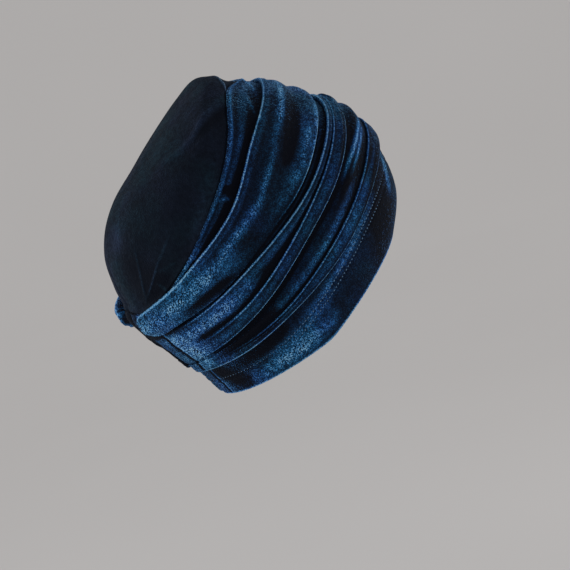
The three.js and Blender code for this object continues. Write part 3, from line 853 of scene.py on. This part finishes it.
# Creases of the crown, as for the rim: painted highlights run along the gathers and the notch, the slack folds
# are painted lighter and their hollow darker, the glows are painted light and the gather shade is painted
# shade.
CROWN_CREASES = table(CREASE_COLUMNS, [
    ("top_puff", (-26, 6.30), (26, 6.30), 8, 4, 0, 0),
    ("top_notch", (2, 6.46), (33, 6.10), 1.4, 1.4, 1.6, 0),
    ("gather_back", (139, 7.90), (153, 6), 1, 0.9, 0.5, 0.2),
    ("gather_side", (114, 7), (134, 6.74), 1.2, 0.7, 0.3, 0.2),
    ("gather_side_low", (128, 6.86), (152, 6.20), 1, 0.9, 0.5, 0.2),
    ("gather_cross", (138, 6.80), (118, 6.10), 1.4, 0.6, 0.12, 0.1),
    ("gather_short", (138, 6.44), (133, 5.44), 1, 0.9, 0.5, 0.2),
    ("slack_fold_top", (30, 6.05), (64, 8.06), 3.6, 1.2, 0.06, 0.5),
    ("slack_fold_low", (48, 7.20), (92, 8.90), 3.6, 1, 0.05, 0.4),
    ("slack_hollow_top", (36, 5.90), (72, 7.90), 3.6, -1, 0, -0.3),
    ("back_glow", (160, 9.10), (155, 7.80), 6, 0, 0, 0.5),
    ("side_glow", (60, 6.60), (118, 6), 7, 0, 0, 0.35),
    ("gather_shade", (156, 8), (134, 5.20), 16, 0, 0, -0.5),
])

crown_angles = column_angles(even=1.1, fine=0.7)


def crown_relief(angle, place):
    """Height of the crown's face: gathers that fan out from the seam as a dying cosine, creases and waves."""
    from_seam = 180 - np.abs(np.degrees(angle))
    wave = np.cos(from_seam / GATHER_PITCH * 2 * np.pi) - 1
    over_band = place - at_angle(BAND_TOP_AT, angle)
    above = np.maximum(over_band, 0)
    upward = np.minimum(above / GATHER_START, 1) * np.maximum(1 - above / GATHER_REACH, 0)
    sideways = np.exp(-(from_seam / GATHER_SPREAD) ** 2)
    height = GATHER_HEIGHT / 2 * wave * upward * sideways
    height = height + crease_field(angle, place, CROWN_CREASES)[0]
    from_edge = over_band * pace(angle, place)
    welt = ease(0, CROWN_WELT_RISE, from_edge) * ease(CROWN_WELT_WIDTH, CROWN_WELT_RISE, from_edge)
    calm = ease(*CROWN_CALM[0], place) * ease(*CROWN_CALM[1], place)
    return height + CROWN_WELT * welt + waves(angle, place, **CROWN_WAVES) * calm


def crown_points(angles):
    """Lines of the crown at each angle: from the middle down the outer face, then up the inner face."""
    seam = at_angle(BAND_TOP_AT, angles)
    start = seam - CROWN_TUCK / pace(angles, seam)
    outer_share = np.linspace(1, 0, CROWN_OUTER_ROWS)
    inner_share = np.linspace(0, 1, CROWN_INNER_ROWS)
    share = np.concatenate([outer_share, inner_share])[None, :]
    place = start[:, None] + (LAST_SECTION - CROWN_NEAREST - start[:, None]) * share
    angle = angles[:, None] + 0 * place
    depth = LAYER_GAP + CROWN_WALL * (np.arange(place.shape[1]) >= CROWN_OUTER_ROWS)
    return angle, place, cloth_point(angle, place, crown_relief(angle, place) - depth)


def crown_tips():
    """The middle of the crown on its outer and its inner face, along the mean outward direction there."""
    tip = layer_point(np.array(0.0), np.array(float(LAST_SECTION)))
    facing = outward(crown_angles, np.full_like(crown_angles, LAST_SECTION - CROWN_FLAT)).sum(0)
    facing /= np.linalg.norm(facing)
    return np.stack([tip - LAYER_GAP * facing, tip - (LAYER_GAP + CROWN_WALL) * facing])


def cup_faces(columns, size):
    """Quads between neighbouring lines, and a fan of triangles to each of the two tips."""
    index = np.arange(columns * size).reshape(columns, size)
    beside = np.roll(index, -1, 0)
    tip = columns * size
    outer_fan = np.stack([np.full(columns, tip), beside[:, 0], index[:, 0]], -1)
    inner_fan = np.stack([np.full(columns, tip + 1), index[:, -1], beside[:, -1]], -1)
    return column_quads(index) + outer_fan.tolist() + inner_fan.tolist()


crown_angle, crown_place, crown_xyz = crown_points(crown_angles)
# painted highlights and painted light and shade of the crown, with its evenly raised pile and pile-less backing
_, crown_painted_highlight, crown_nap_and_painted_light = crease_field(crown_angle, crown_place, CROWN_CREASES)
crown_inside = np.arange(crown_place.shape[1]) >= CROWN_OUTER_ROWS
crown_painted_highlight = np.append(np.where(crown_inside, 0, crown_painted_highlight), [0, 0])
crown_nap_and_painted_light = np.where(crown_inside, BACKING_NAP, crown_nap_and_painted_light + CROWN_NAP)
crown_nap_and_painted_light = np.append(crown_nap_and_painted_light, [CROWN_NAP, BACKING_NAP])
crown = cloth_object("crown_velvet_bag", np.concatenate([crown_xyz.reshape(-1, 3), crown_tips()]),
                     cup_faces(*crown_angle.shape), {"edge": crown_painted_highlight, "brushed": crown_nap_and_painted_light},
                     velvet("crown_velvet", **CROWN_GLOW, **CROWN_DYE))
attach(crown, "root")
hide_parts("crown")

# Camera
# Level with the cap, a little behind its right side, with the brow tipped up in the frame.
MM_PER_PIXEL = 0.9
PICTURE = 570
ORIGIN_PIXEL = (310, 308)     # where the middle of the cap's opening lies in the picture
CAP_TILT = np.radians(15)
CAMERA_ROUND = np.radians(18)
CAMERA_RISE = np.radians(4)
CAMERA_DISTANCE = 1600
SENSOR = 36


def tipped(x, y, z):
    """A direction of the picture's upright frame in the cap's frame, which is tipped back in the picture."""
    s, c = np.sin(CAP_TILT), np.cos(CAP_TILT)
    return np.array([x, y * c - z * s, y * s + z * c])


cos_round, sin_round = np.cos(CAMERA_ROUND), np.sin(CAMERA_ROUND)
cos_rise, sin_rise = np.cos(CAMERA_RISE), np.sin(CAMERA_RISE)
camera_back = tipped(-cos_round * cos_rise, sin_round * cos_rise, sin_rise)
camera_up = tipped(cos_round * sin_rise, -sin_round * sin_rise, cos_rise)
camera_right = np.cross(camera_up, camera_back)
off_middle = camera_right * (PICTURE / 2 - ORIGIN_PIXEL[0]) + camera_up * (ORIGIN_PIXEL[1] - PICTURE / 2)
camera_data = bpy.data.cameras.new("camera")
camera_data.sensor_width = SENSOR
camera_data.lens = SENSOR * CAMERA_DISTANCE / (PICTURE * MM_PER_PIXEL)
camera = bpy.data.objects.new("camera", camera_data)
bpy.context.collection.objects.link(camera)
placing = np.eye(4)
placing[:3, 0], placing[:3, 1], placing[:3, 2] = camera_right, camera_up, camera_back
placing[:3, 3] = (off_middle * MM_PER_PIXEL + camera_back * CAMERA_DISTANCE) * MM
camera.matrix_world = Matrix(placing.tolist())
bpy.context.scene.camera = camera

# Floor and backdrop
# A pale sweep: a floor below the cap that rises in one curve to a wall all round, so no edge shows. It is
# lit through from outside and gives the broad soft light.
SWEEP_FLOOR = -0.34
SWEEP_MIDDLE = 0.001
SWEEP_FLAT = 2.6
SWEEP_BEND = 1.4
SWEEP_TOP = 4.0
SWEEP_BEND_ROWS = 12
SWEEP_COLUMNS = 64
SWEEP_GLOW = (0.30, 0.292, 0.288)
SWEEP_MOTTLE = 1.5
SWEEP_DARK = (0.26, 0.255, 0.255)
SWEEP_LIGHT = (0.30, 0.295, 0.295)


def sweep_material():
    """Matt pale grey paper with a faint mottling."""
    material, tree, shader = new_material("sweep_paper")
    colour = noise_colours(tree, SWEEP_MOTTLE, (0, SWEEP_DARK), (1, SWEEP_LIGHT))
    feed(tree, shader, {"Base Color": colour, "Roughness": 0.9, "Specular IOR Level": 0.1,
                        "Emission Color": (*SWEEP_GLOW, 1), "Emission Strength": 1.0})
    return material


def sweep_object():
    """A dish turned about the upright axis: flat floor, quarter-round bend, straight wall."""
    bend = np.radians(np.linspace(0, 90, SWEEP_BEND_ROWS))
    radius = np.concatenate([[SWEEP_MIDDLE], SWEEP_FLAT + SWEEP_BEND * np.sin(bend), [SWEEP_FLAT + SWEEP_BEND]])
    level = np.concatenate([[0], SWEEP_BEND * (1 - np.cos(bend)), [SWEEP_TOP]]) + SWEEP_FLOOR
    turn = np.linspace(0, 2 * np.pi, SWEEP_COLUMNS, endpoint=False)[:, None]
    points = np.stack([radius * np.cos(turn), radius * np.sin(turn), level + 0 * turn], -1)
    index = np.arange(points.shape[0] * points.shape[1]).reshape(points.shape[:2])
    beside = np.roll(index, -1, 0)
    quads = np.stack([index[:, :-1], index[:, 1:], beside[:, 1:], beside[:, :-1]], -1).reshape(-1, 4)
    return cloth_object("sweep", points.reshape(-1, 3) / MM, quads.tolist(), {}, sweep_material())


sweep_object()

# Lights
# Soft boxes placed from the camera's own directions: a low one on the left that lights the gathered back,
# and one a little beyond each side that grazes the fold edges.
LIGHTS = table("name right up back distance size power", [
    ("low_left", -0.85, -0.42, 0.35, 0.6, 0.25, 0.5),
    ("left_side", -1, 0.15, -0.3, 0.9, 0.6, 1),
    ("right_side", 1, 0.4, -0.3, 0.9, 0.6, 2),
])
WORLD_GREY = (0.42, 0.41, 0.405)

middle_of_cap = Vector([(a + b) / 2 for a, b in zip(*cad_box)])
for light in LIGHTS:
    direction = Vector(light["right"] * camera_right + light["up"] * camera_up + light["back"] * camera_back)
    direction.normalize()
    lamp_data = bpy.data.lights.new(light["name"], "AREA")
    lamp_data.size = light["size"]
    lamp_data.energy = light["power"]
    lamp = bpy.data.objects.new(light["name"], lamp_data)
    bpy.context.collection.objects.link(lamp)
    lamp.visible_camera = False
    lamp.location = middle_of_cap + direction * light["distance"]
    lamp.rotation_euler = direction.to_track_quat("Z", "Y").to_euler()

world = bpy.data.worlds.new("studio")
bpy.context.scene.world = world
world.use_nodes = True
world.node_tree.nodes["Background"].inputs["Color"].default_value = (*WORLD_GREY, 1)
bpy.context.scene.view_settings.view_transform = "Standard"
